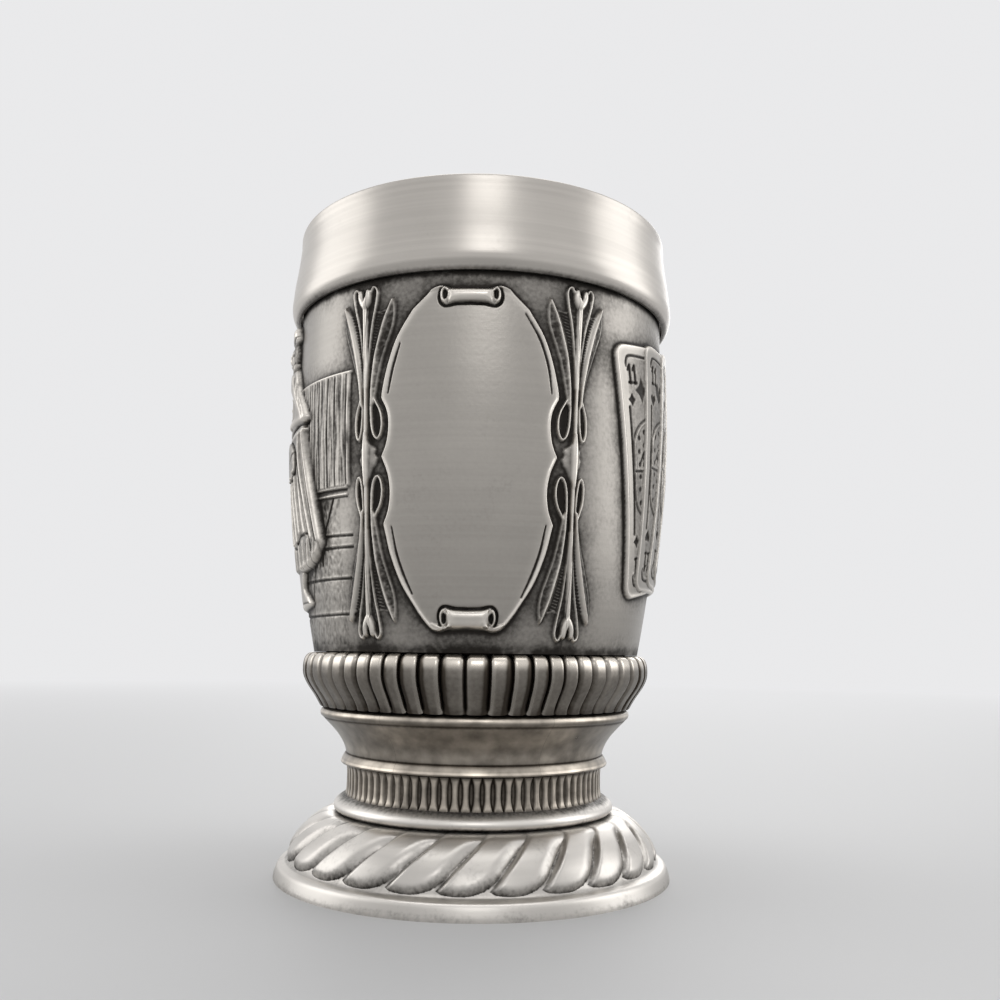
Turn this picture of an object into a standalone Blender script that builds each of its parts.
"""Footed pewter beaker with a gadrooned base and a cast relief wall.

The beaker is a stack of turned and cast sections that register in each other by short
spigots: a spiral-lobed foot, a round foot ring, a fluted collar, a hollow neck, a gadrooned
collar, the bowl's floor, the relief wall and a turned lip band.

Sizes are millimetres and angles degrees. +Z is up, the foot stands on z = 0, and the blank
cartouche faces -Y. An angle round the beaker is 0 at the front and grows towards +X.
"""

import math

import bmesh
import bpy
from mathutils import Matrix, Vector

MM = 0.001
MERGE = 0.00002

# Driving dimensions
TOTAL_HEIGHT = 130.0
FOOT_RADIUS = 39.35
LIP_RADIUS = 40.8
GAP = 0.3
TURNED_STEPS = 36

# Heights where one section ends and the next begins
FOOT_TOP = 12.4
FOOT_RING_TOP = 15.4
FLUTES_TOP = 20.3
NECK_TOP = 32.4
COLLAR_TOP = 43.1
WALL_TOP = 113.1
LIP_BOTTOM = 111.5

# The relief wall is a shallow barrel: one long arc below its widest height, straight above it
WALL_RADIUS = 38.5
WALL_WIDEST = 95.0
WALL_ARC_RADIUS = 256.0
WALL_THICKNESS = 2.1
WALL_ROWS = (43.4, 53.0, 63.0, 73.5, 84.5, 96.0, WALL_TOP)

# The gadroon collar's spigot, which the wall slips over and the floor lies on
SPIGOT_RADIUS = 30.87
SPIGOT_TOP = 44.6

# Repeated forms
SPIRAL_LOBES = 25
SPIRAL_STEPS = 4
SPIRAL_DEPTH = 1.25
SPIRAL_BOTTOM = 3.65
SPIRAL_MIDDLE = 7.5
SPIRAL_SWEEP = 1.5
SPIRAL_HOOK = 6.4
SPIRAL_HOOK_HEIGHT = 0.48
SPIRAL_CURL = 4.6
SPIRAL_CURL_START = 10.0
SPIRAL_CURL_HEIGHT = 2.1
SPIRAL_FIRST_GROOVE = -3.0
GADROONS = 60
GADROON_STEPS = 3
GADROON_DEPTH = 1.5
GADROON_FACE = 0.64
GADROON_CROWDING = 1.5
RIBS = 84
RIB_STEPS = 3
FLUTE_DEPTH = 0.85
FLUTE_CROWDING = 0.9
MOULD_PARTS = 6
SHARP_ANGLE = 35.0

# Relief on the wall
RELIEF_ROOT = -1.0
MM_PER_DEGREE = 0.655
PLATE_FRONT = 1.0
SCROLL_RADIUS = 1.8
SCROLL_LIFT = 0.1
SCROLL_HALF_WIDTH = 8.7
LILY_FRONT = 0.8
LILY_ANGLE = 29.8
LILY_MIDDLE = 77.9
LILY_BOW = 0.9
LILY_HALF_HEIGHT = 30.0
CARDS = 4
CARD_WIDTH = 31.0
CARD_HEIGHT = 47.0
CARD_CORNER = 2.6
CARD_PITCH = 11.0
CARD_LEAN = 6.0
CARD_MIDDLE = 80.2
CARD_FIRST_FRONT = 0.9
CARD_STEP = 0.18
FAN_ANGLE = 88.2
PANELLING_ANGLE = -90.0
PANELLING_HALF_ANGLE = 54.4
PLANKS_FRONT = 0.35
PLANKS_TOP = 94.7
PLANKS_BOTTOM = 73.3
LEDGE_FRONT = 0.6
LEDGE_TOP = 73.6
LEDGE_BOTTOM = 71.8
LEDGE_INSET = 4.0
FIGURE_ANGLE = -76.0
SHOES_FRONT = 1.0
CHEST_FRONT = 1.3
COAT_FRONT = 1.5
CAP_FRONT = 1.6
ARM_FRONT = 2.0
HEAD_HEIGHT = 104.3
HEAD_RADIUS = 4.0
HEAD_RELIEF = 1.9


def clear_scene():
    for obj in list(bpy.data.objects):
        bpy.data.objects.remove(obj)


def make_collection(name, hidden=False):
    collection = bpy.data.collections.new(name)
    bpy.context.scene.collection.children.link(collection)
    collection.hide_render = hidden
    return collection


def pewter(name, colour, roughness):
    material = bpy.data.materials.new(name)
    material.use_nodes = True
    shader = material.node_tree.nodes["Principled BSDF"]
    shader.inputs["Base Color"].default_value = (*colour, 1.0)
    shader.inputs["Metallic"].default_value = 1.0
    shader.inputs["Roughness"].default_value = roughness
    return material


def arc(radius, height, size, start, end, steps):
    """Points (radius, height) on a round moulding, from the start angle to the end angle."""
    angles = [math.radians(start + (end - start) * i / steps) for i in range(steps + 1)]
    return [(radius + size * math.cos(a), height + size * math.sin(a)) for a in angles]


def wall_radius(height):
    """Radius of the relief wall's plain ground at a height."""
    below = max(0.0, WALL_WIDEST - height)
    return WALL_RADIUS - below * below / (2.0 * WALL_ARC_RADIUS)


def around(angle, radius, height):
    """The point in metres at an angle round the beaker, a radius and a height."""
    turn = math.radians(angle)
    return Vector((radius * math.sin(turn), -radius * math.cos(turn), height)) * MM


def screw(name, profile, steps, collection, closed=True):
    """Turns a profile of (radius, height) points once round the axis."""
    mesh = bpy.data.meshes.new(name)
    points = [(r * MM, 0.0, z * MM) for r, z in profile]
    edges = [(i, i + 1) for i in range(len(points) - 1)]
    if closed:
        edges.append((len(points) - 1, 0))
    mesh.from_pydata(points, edges, [])
    obj = bpy.data.objects.new(name, mesh)
    collection.objects.link(obj)
    turn = obj.modifiers.new("Turn", "SCREW")
    turn.axis = "Z"
    turn.steps = steps
    turn.render_steps = steps
    turn.use_merge_vertices = True
    turn.merge_threshold = MERGE
    turn.use_smooth_shade = True
    return obj


def as_mesh(obj):
    """Replaces an object by its evaluated mesh, with its doubles welded and its faces outward."""
    collection = obj.users_collection[0]
    name = obj.name
    graph = bpy.context.evaluated_depsgraph_get()
    mesh = bpy.data.meshes.new_from_object(obj.evaluated_get(graph))
    mesh.transform(obj.matrix_world)
    bpy.data.objects.remove(obj)
    work = bmesh.new()
    work.from_mesh(mesh)
    bmesh.ops.remove_doubles(work, verts=work.verts, dist=MERGE)
    bmesh.ops.recalc_face_normals(work, faces=work.faces)
    work.to_mesh(mesh)
    work.free()
    mesh.name = name
    solid = bpy.data.objects.new(name, mesh)
    collection.objects.link(solid)
    return solid


def as_cutter(obj):
    obj.hide_render = True
    obj.display_type = "WIRE"
    return obj


def boolean(obj, cutter, operation):
    cut = obj.modifiers.new(operation.title(), "BOOLEAN")
    cut.operation = operation
    cut.solver = "EXACT"
    cut.object = as_cutter(cutter)


def finish(obj, material):
    """Settles a solid's unions and cuts, gives it its metal and keeps its corners crisp."""
    solid = as_mesh(obj)
    solid.data.materials.clear()
    solid.data.materials.append(material)
    solid.data.shade_smooth()
    solid.data.set_sharp_from_angle(angle=math.radians(SHARP_ANGLE))


def ramp(value, low, high):
    """0 below low, 1 above high, and a smooth rise between them."""
    share = min(1.0, max(0.0, (value - low) / (high - low)))
    return share * share * (3.0 - 2.0 * share)


def lobe_sink(phase, roundness):
    """1 in the groove between two lobes and 0 on a lobe's crest; phase counts lobes."""
    return 1.0 - abs(math.sin(math.pi * phase)) ** roundness


def carve(obj, move):
    """Moves each vertex by a rule from (angle, radius, height) to new values of the three."""
    for vertex in obj.data.vertices:
        x, y, z = vertex.co / MM
        radius = math.hypot(x, y)
        angle = math.degrees(math.atan2(x, -y))
        if radius > GAP:
            vertex.co = around(*move(angle, radius, z))


def carved_ring(name, outside, inside, steps, move, collections):
    """A turned solid, carved by a rule on its outside and bored by a plainer turned hollow."""
    parts, cutters = collections
    outline = [(0.0, outside[0][1]), *outside, (0.0, outside[-1][1])]
    body = as_mesh(screw(name, outline, steps, parts, closed=False))
    carve(body, move)
    hollow = screw(name + "_hollow", inside, TURNED_STEPS, cutters, closed=False)
    boolean(body, as_mesh(hollow), "DIFFERENCE")
    return body


def spiral_turn(height):
    """How far a groove of the foot has swept round: it hooks at its tip and curls at the top."""
    level = max(height, SPIRAL_BOTTOM)
    hook = SPIRAL_HOOK * math.exp((SPIRAL_BOTTOM - level) / SPIRAL_HOOK_HEIGHT)
    curl = SPIRAL_CURL * (max(0.0, level - SPIRAL_CURL_START) / SPIRAL_CURL_HEIGHT) ** 3
    return SPIRAL_SWEEP * (level - SPIRAL_MIDDLE) - hook + curl


def carve_foot(angle, radius, height):
    """Sinks the spiral grooves along the dome's slope, then sweeps every column of points round."""
    phase = (angle - SPIRAL_FIRST_GROOVE) * SPIRAL_LOBES / 360.0
    depth = SPIRAL_DEPTH * ramp(height, 3.6, 5.0) * (1.0 - ramp(height, 10.8, FOOT_TOP))
    sink = depth * lobe_sink(phase, 0.6)
    return angle + spiral_turn(height), radius - 0.75 * sink, height - 0.65 * sink


def to_face_edge(phase):
    """Leaves a column that lies in a slot, and moves any other to an edge of its lobe's flat face."""
    within = phase % 1.0
    if min(within, 1.0 - within) < 0.5 / GADROON_STEPS:
        return phase
    return phase - within + 0.5 + math.copysign(GADROON_FACE / 2.0, within - 0.5)


def crowd(angle, amount):
    """Shifts an angle as the mould's parts do: the lobes lie closer together at each parting."""
    return angle + amount * math.sin(math.radians(MOULD_PARTS * angle))


def carve_gadroons(angle, radius, height):
    depth = GADROON_DEPTH * ramp(height, 31.0, 34.5)
    phase = to_face_edge(angle * GADROONS / 360.0)
    sink = depth * lobe_sink(phase, 0.3)
    return crowd(phase * 360.0 / GADROONS, GADROON_CROWDING), radius - sink, height


def carve_flutes(angle, radius, height):
    """Every third column sinks between two ribs, and comes back to the rim at either end."""
    middle = (FOOT_RING_TOP + GAP + FLUTES_TOP) / 2.0
    half = (FLUTES_TOP - FOOT_RING_TOP - GAP) / 2.0
    depth = FLUTE_DEPTH * (1.0 - ramp(abs(height - middle), half - 0.8, half))
    phase = (angle * RIBS / 360.0) % 1.0
    in_flute = min(phase, 1.0 - phase) < 0.5 / RIB_STEPS
    return crowd(angle, FLUTE_CROWDING), radius - depth * in_flute, height


def make_foot(collections):
    outside = [
        (28.9, FOOT_TOP),
        (31.6, 11.1),
        (33.8, 9.2),
        (35.5, 7.3),
        (36.6, 5.4),
        (37.0, 4.5),
        (37.2, 3.8),
        (38.6, 2.0),
        (FOOT_RADIUS, 0.0),
    ]
    inside = [
        (0.0, FOOT_TOP + 1.0),
        (24.0, FOOT_TOP + 1.0),
        (24.0, 10.3),
        (28.6, 9.3),
        (31.6, 7.2),
        (33.9, 4.2),
        (35.6, 0.9),
        (35.9, -1.0),
        (0.0, -1.0),
    ]
    steps = SPIRAL_LOBES * SPIRAL_STEPS
    return carved_ring("foot", outside, inside, steps, carve_foot, collections)


def make_foot_ring(collections):
    """Round ring between foot and flutes, with a spigot below and a low register above."""
    parts, _ = collections
    size = (FOOT_RING_TOP - FOOT_TOP - GAP) / 2.0
    bulge = arc(28.1 - size, FOOT_RING_TOP - size, size, 90.0, -90.0, 4)
    profile = [
        (22.6, 16.2),
        (22.6, FOOT_RING_TOP),
        *bulge,
        (23.7, FOOT_TOP + GAP),
        (23.7, 10.6),
        (20.9, 10.6),
        (20.9, 16.2),
    ]
    return as_mesh(screw("foot_ring", profile, TURNED_STEPS, parts))


def make_fluted_collar(collections):
    bottom = FOOT_RING_TOP + GAP
    outside = [
        (25.9, FLUTES_TOP),
        (25.5, FLUTES_TOP - 0.8),
        (25.4, bottom + 0.8),
        (25.9, bottom),
    ]
    inside = [
        (0.0, FLUTES_TOP + 1.0),
        (22.9, FLUTES_TOP + 1.0),
        (22.9, bottom - 1.0),
        (0.0, bottom - 1.0),
    ]
    steps = RIBS * RIB_STEPS
    return carved_ring("fluted_collar", outside, inside, steps, carve_flutes, collections)


def make_neck(collections):
    """Bead, cavetto and fillet in one hollow turning, with a spigot at each end."""
    parts, _ = collections
    bead = arc(30.4, NECK_TOP - 1.1, 1.1, 90.0, -90.0, 4)
    cavetto = [(28.9, 28.3), (27.2, 26.1), (26.35, 24.1)]
    fillet = [(26.0, 23.6), (26.35, 23.2), (26.5, 21.9), (26.35, FLUTES_TOP + GAP)]
    profile = [
        (27.6, 35.0),
        (27.6, NECK_TOP),
        *bead,
        *cavetto,
        *fillet,
        (22.6, FLUTES_TOP + GAP),
        (22.6, 16.5),
        (20.9, 16.5),
        (20.9, 21.5),
        (24.3, 27.5),
        (25.7, 31.5),
        (25.7, 35.0),
    ]
    return as_mesh(screw("neck", profile, TURNED_STEPS, parts))


def make_gadroon_collar(collections):
    """The lobed body, and above it the plain spigot that centres the wall and carries the floor."""
    _, cutters = collections
    outside = [
        (33.2, COLLAR_TOP),
        (34.9, 41.9),
        (35.35, 39.8),
        (33.9, 36.0),
        (31.9, NECK_TOP + GAP),
    ]
    inside = [
        (0.0, COLLAR_TOP + 1.0),
        (29.6, COLLAR_TOP + 1.0),
        (29.6, 42.2),
        (30.7, 39.0),
        (28.4, 34.2),
        (27.9, 31.0),
        (0.0, 31.0),
    ]
    steps = GADROONS * GADROON_STEPS
    body = carved_ring("gadroon_collar", outside, inside, steps, carve_gadroons, collections)
    spigot = [
        (SPIGOT_RADIUS, SPIGOT_TOP),
        (SPIGOT_RADIUS, 41.9),
        (28.4, 41.9),
        (28.4, SPIGOT_TOP),
    ]
    ring = screw("gadroon_collar_spigot", spigot, TURNED_STEPS, cutters)
    boolean(body, as_mesh(ring), "UNION")
    return body


def make_bowl_floor(collections):
    """Shallow dish that lies on the collar's spigot inside the wall, with a cove up its rim."""
    parts, _ = collections
    profile = [
        (0.0, 46.3),
        (16.0, 46.4),
        (26.0, 46.8),
        (29.4, 47.8),
        (31.2, 49.6),
        (31.9, 49.6),
        (31.1, SPIGOT_TOP + GAP),
        (0.0, SPIGOT_TOP + GAP),
    ]
    return as_mesh(screw("bowl_floor", profile, TURNED_STEPS, parts, closed=False))


def make_lip_band(collections):
    """Turned rim: it flares down to a rounded shoulder and hangs over the wall's top edge."""
    parts, _ = collections
    outside = [
        (38.5, TOTAL_HEIGHT),
        (39.25, TOTAL_HEIGHT - 0.4),
        (39.5, 126.5),
        (40.65, 117.0),
        (LIP_RADIUS, 114.8),
        (40.6, 113.2),
        (40.0, 112.0),
        (39.3, LIP_BOTTOM),
    ]
    inside = [
        (WALL_RADIUS + GAP, LIP_BOTTOM),
        (WALL_RADIUS + GAP, WALL_TOP + GAP),
        (WALL_RADIUS - WALL_THICKNESS, WALL_TOP + GAP),
        (36.9, 120.0),
        (37.7, TOTAL_HEIGHT - 0.5),
    ]
    return as_mesh(screw("lip_band", outside + inside, TURNED_STEPS, parts))


def outline_solid(name, outlines, back, front, collection):
    """A flat solid between two heights, from closed outlines; an inner outline is a hole."""
    curve = bpy.data.curves.new(name, "CURVE")
    curve.dimensions = "2D"
    curve.fill_mode = "BOTH"
    curve.extrude = (front - back) / 2.0 * MM
    for outline in outlines:
        spline = curve.splines.new("POLY")
        spline.points.add(len(outline) - 1)
        for point, (x, y) in zip(spline.points, outline):
            point.co = (x * MM, y * MM, 0.0, 1.0)
        spline.use_cyclic_u = True
    obj = bpy.data.objects.new(name, curve)
    obj.location.z = (front + back) / 2.0 * MM
    collection.objects.link(obj)
    bpy.context.view_layer.update()
    return as_mesh(obj)


def grid_cuts(low, high, spacing, offset):
    """The multiples of a spacing, less an offset, that lie between two values."""
    first = math.ceil((low + offset) / spacing)
    last = math.floor((high + offset) / spacing)
    return [i * spacing - offset for i in range(first, last + 1)]


def wrap(obj, angle):
    """Cuts a flat solid along the wall's facets and lays it round the wall, centred at an angle."""
    work = bmesh.new()
    work.from_mesh(obj.data)
    bmesh.ops.dissolve_limit(
        work, angle_limit=math.radians(1.0), verts=work.verts, edges=work.edges
    )
    xs = [v.co.x / MM for v in work.verts]
    zs = [v.co.y / MM for v in work.verts]
    facet = 360.0 / TURNED_STEPS * MM_PER_DEGREE
    upright = grid_cuts(min(xs), max(xs), facet, angle * MM_PER_DEGREE)
    level = [z for z in WALL_ROWS if min(zs) < z < max(zs)]
    cuts = [((x, 0.0), (1.0, 0.0)) for x in upright] + [((0.0, z), (0.0, 1.0)) for z in level]
    for (x, y), (nx, ny) in cuts:
        bmesh.ops.bisect_plane(
            work,
            geom=work.verts[:] + work.edges[:] + work.faces[:],
            dist=MERGE,
            plane_co=(x * MM, y * MM, 0.0),
            plane_no=(nx, ny, 0.0),
        )
    for vertex in work.verts:
        x, height, relief = vertex.co / MM
        vertex.co = around(angle + x / MM_PER_DEGREE, wall_radius(height) + relief, height)
    work.to_mesh(obj.data)
    work.free()
    return obj


def relief(name, outlines, front, angle, collection):
    """One flat-topped piece of the wall's relief, rooted in the wall."""
    return as_cutter(wrap(outline_solid(name, outlines, RELIEF_ROOT, front, collection), angle))


def mirrored(half):
    """A closed outline from its right half, which runs from the axis round to the axis."""
    left = [(-x, y) for x, y in reversed(half) if abs(x) > MERGE]
    return half + left


def in_degrees(points, middle=0.0):
    """Outline points given as (angle, height) become millimetres along the wall."""
    return [(angle * MM_PER_DEGREE, middle + height) for angle, height in points]


def make_cartouche(collection):
    """Upright plate with scalloped sides; a rolled scroll lies across each end."""
    half = [
        (0.0, 109.3),
        (8.5, 109.3),
        (11.8, 107.9),
        (15.7, 105.0),
        (20.0, 100.0),
        (22.5, 95.0),
        (24.1, 90.2),
        (24.3, 88.5),
        (22.6, 86.0),
        (22.1, 83.4),
        (22.7, 80.3),
        (24.2, 77.8),
        (22.4, 74.8),
        (21.7, 71.6),
        (22.3, 68.4),
        (23.8, 65.9),
        (23.3, 64.4),
        (21.9, 60.0),
        (18.9, 55.0),
        (14.0, 50.0),
        (11.6, 48.3),
        (9.3, 47.3),
        (0.0, 47.3),
    ]
    relief("cartouche", [mirrored(in_degrees(half))], PLATE_FRONT, 0.0, collection)
    for name, height in (("scroll_top", 107.0), ("scroll_bottom", 49.5)):
        curve = bpy.data.curves.new(name, "CURVE")
        curve.dimensions = "3D"
        curve.bevel_depth = SCROLL_RADIUS * MM
        curve.bevel_resolution = 2
        curve.use_fill_caps = True
        angles = [SCROLL_HALF_WIDTH * (i / 4.0 - 1.0) for i in range(9)]
        spline = curve.splines.new("POLY")
        spline.points.add(len(angles) - 1)
        for point, angle in zip(spline.points, angles):
            point.co = (*around(angle, wall_radius(height) + SCROLL_LIFT, height), 1.0)
        obj = bpy.data.objects.new(name, curve)
        collection.objects.link(obj)
        as_cutter(as_mesh(obj))


def bowed(points, outward):
    """Points of a lily column, moved away from the cartouche towards the column's two ends."""
    bow = outward * LILY_BOW
    return [(u + bow * (v / LILY_HALF_HEIGHT) ** 2, v) for u, v in points]


def make_lily(angle, outward, collection):
    """Column of two back-to-back lilies: a stem with a bud at each end, and four looped leaves."""
    leaf = [
        (7.9, 29.7),
        (8.4, 26.0),
        (7.3, 21.0),
        (4.4, 12.5),
        (3.3, 9.8),
        (4.3, 7.8),
        (4.3, 4.8),
        (2.8, 3.2),
        (1.3, 4.4),
        (1.15, 9.0),
        (1.6, 13.5),
        (2.6, 18.0),
        (4.6, 23.2),
    ]
    loop = [(2.3, 9.0), (3.3, 7.2), (3.2, 4.8), (1.9, 5.0)]
    stem = [
        (0.0, 31.0),
        (1.5, 32.2),
        (2.5, 31.4),
        (2.3, 29.6),
        (0.9, 27.8),
        (0.8, 20.0),
        (0.55, 5.0),
        (1.0, 2.9),
        (3.0, 1.7),
        (3.0, 0.0),
    ]
    leaves = []
    for side in (1.0, -1.0):
        for end in (1.0, -1.0):
            for outline in (leaf, loop):
                points = [(side * u, end * v) for u, v in outline]
                leaves.append(in_degrees(bowed(points, outward), LILY_MIDDLE))
    upper = stem[:-1]
    lower = [(u, -v) for u, v in reversed(upper)]
    middle = bowed(mirrored(upper + [stem[-1]] + lower), outward)
    relief("lily", leaves + [in_degrees(middle, LILY_MIDDLE)], LILY_FRONT, angle, collection)


def make_cards(collection):
    """A fan of playing cards, each lying a little higher than the one on its left."""
    x = CARD_WIDTH / 2.0 - CARD_CORNER
    y = CARD_HEIGHT / 2.0 - CARD_CORNER
    corners = [(x, y, 90.0), (x, -y, 0.0), (-x, -y, -90.0), (-x, y, -180.0)]
    outline = []
    for cx, cy, start in corners:
        outline += arc(cx, cy, CARD_CORNER, start, start - 90.0, 2)
    for i in range(CARDS):
        place = i - (CARDS - 1) / 2.0
        turn = Matrix.Rotation(math.radians(-CARD_LEAN * place), 2)
        points = [turn @ Vector(p) + Vector((0.0, CARD_MIDDLE)) for p in outline]
        front = CARD_FIRST_FRONT + CARD_STEP * i
        relief("card", [points], front, FAN_ANGLE + CARD_PITCH * place, collection)


def make_panelling(collection):
    """Plank wall with a ledge under it, behind the figure."""
    wide = PANELLING_HALF_ANGLE * MM_PER_DEGREE
    short = wide - LEDGE_INSET
    planks = [(-wide, PLANKS_TOP), (wide, PLANKS_TOP), (wide, PLANKS_BOTTOM), (-wide, PLANKS_BOTTOM)]
    ledge = [(-short, LEDGE_TOP), (short, LEDGE_TOP), (short, LEDGE_BOTTOM), (-short, LEDGE_BOTTOM)]
    relief("planks", [planks], PLANKS_FRONT, PANELLING_ANGLE, collection)
    relief("ledge", [ledge], LEDGE_FRONT, PANELLING_ANGLE, collection)


def make_figure(collection):
    """Stout standing figure in a cap and a long flared coat, with an arm bent to the belt."""
    coat = [
        (-6.0, 88.5),
        (11.6, 88.5),
        (13.8, 78.0),
        (15.6, 71.0),
        (18.3, 64.0),
        (17.0, 60.8),
        (14.0, 58.9),
        (6.0, 58.3),
        (-3.0, 58.5),
        (-9.5, 60.0),
        (-11.5, 62.5),
        (-9.0, 74.0),
    ]
    chest = [
        (-5.0, 100.0),
        (2.0, 101.0),
        (5.5, 98.5),
        (9.0, 92.0),
        (9.5, 87.0),
        (-6.5, 87.0),
        (-7.0, 94.0),
    ]
    arm = [
        (0.2, 100.2),
        (3.4, 99.2),
        (9.8, 93.4),
        (13.2, 89.4),
        (12.0, 87.4),
        (3.0, 87.8),
        (3.0, 90.4),
        (7.4, 91.2),
        (1.0, 96.4),
    ]
    cap = [
        (-5.6, 107.4),
        (3.4, 107.4),
        (4.4, 108.0),
        (2.8, 109.8),
        (-1.0, 110.6),
        (-4.6, 109.6),
    ]
    shoes = [
        (-6.0, 59.0),
        (6.0, 59.0),
        (6.4, 54.6),
        (9.0, 53.0),
        (8.6, 51.4),
        (-5.0, 51.4),
    ]
    relief("coat", [coat], COAT_FRONT, FIGURE_ANGLE, collection)
    relief("chest", [chest], CHEST_FRONT, FIGURE_ANGLE, collection)
    relief("arm", [arm], ARM_FRONT, FIGURE_ANGLE, collection)
    relief("cap", [cap], CAP_FRONT, FIGURE_ANGLE, collection)
    relief("shoes", [shoes], SHOES_FRONT, FIGURE_ANGLE, collection)
    mesh = bpy.data.meshes.new("head")
    ball = bmesh.new()
    bmesh.ops.create_uvsphere(ball, u_segments=12, v_segments=8, radius=HEAD_RADIUS * MM)
    for vertex in ball.verts:
        x, outward, z = vertex.co / MM
        place = WALL_RADIUS + outward * HEAD_RELIEF / HEAD_RADIUS
        vertex.co = around(FIGURE_ANGLE + (x - 1.0) / MM_PER_DEGREE, place, HEAD_HEIGHT + z)
    bmesh.ops.recalc_face_normals(ball, faces=ball.faces)
    ball.to_mesh(mesh)
    ball.free()
    head = bpy.data.objects.new("head", mesh)
    collection.objects.link(head)
    as_cutter(head)


def make_bowl_wall(collections):
    """The wall's shell, with every piece of relief joined on by one union."""
    parts, _ = collections
    outside = [(wall_radius(z), z) for z in reversed(WALL_ROWS)]
    inner_rows = [z for z in WALL_ROWS if z not in WALL_ROWS[1:-1:2]]
    inside = [(wall_radius(z) - WALL_THICKNESS, z) for z in inner_rows]
    wall = as_mesh(screw("bowl_wall", outside + inside, TURNED_STEPS, parts))
    carvings = make_collection("relief", hidden=True)
    make_cartouche(carvings)
    for outward in (1.0, -1.0):
        make_lily(outward * LILY_ANGLE, outward, carvings)
        make_lily(180.0 + outward * LILY_ANGLE, outward, carvings)
    make_cards(carvings)
    make_panelling(carvings)
    make_figure(carvings)
    join = wall.modifiers.new("Relief", "BOOLEAN")
    join.operation = "UNION"
    join.solver = "EXACT"
    join.operand_type = "COLLECTION"
    join.collection = carvings
    return wall


def build():
    clear_scene()
    parts = make_collection("goblet")
    cutters = make_collection("cutters", hidden=True)
    collections = (parts, cutters)
    bright = pewter("bright_pewter", (0.58, 0.55, 0.51), 0.30)
    dark = pewter("dark_pewter", (0.27, 0.245, 0.215), 0.34)
    satin = pewter("satin_pewter", (0.42, 0.40, 0.37), 0.38)
    finish(make_foot(collections), bright)
    finish(make_foot_ring(collections), bright)
    finish(make_fluted_collar(collections), dark)
    finish(make_neck(collections), dark)
    finish(make_gadroon_collar(collections), bright)
    finish(make_bowl_floor(collections), satin)
    finish(make_bowl_wall(collections), satin)
    finish(make_lip_band(collections), bright)


build()
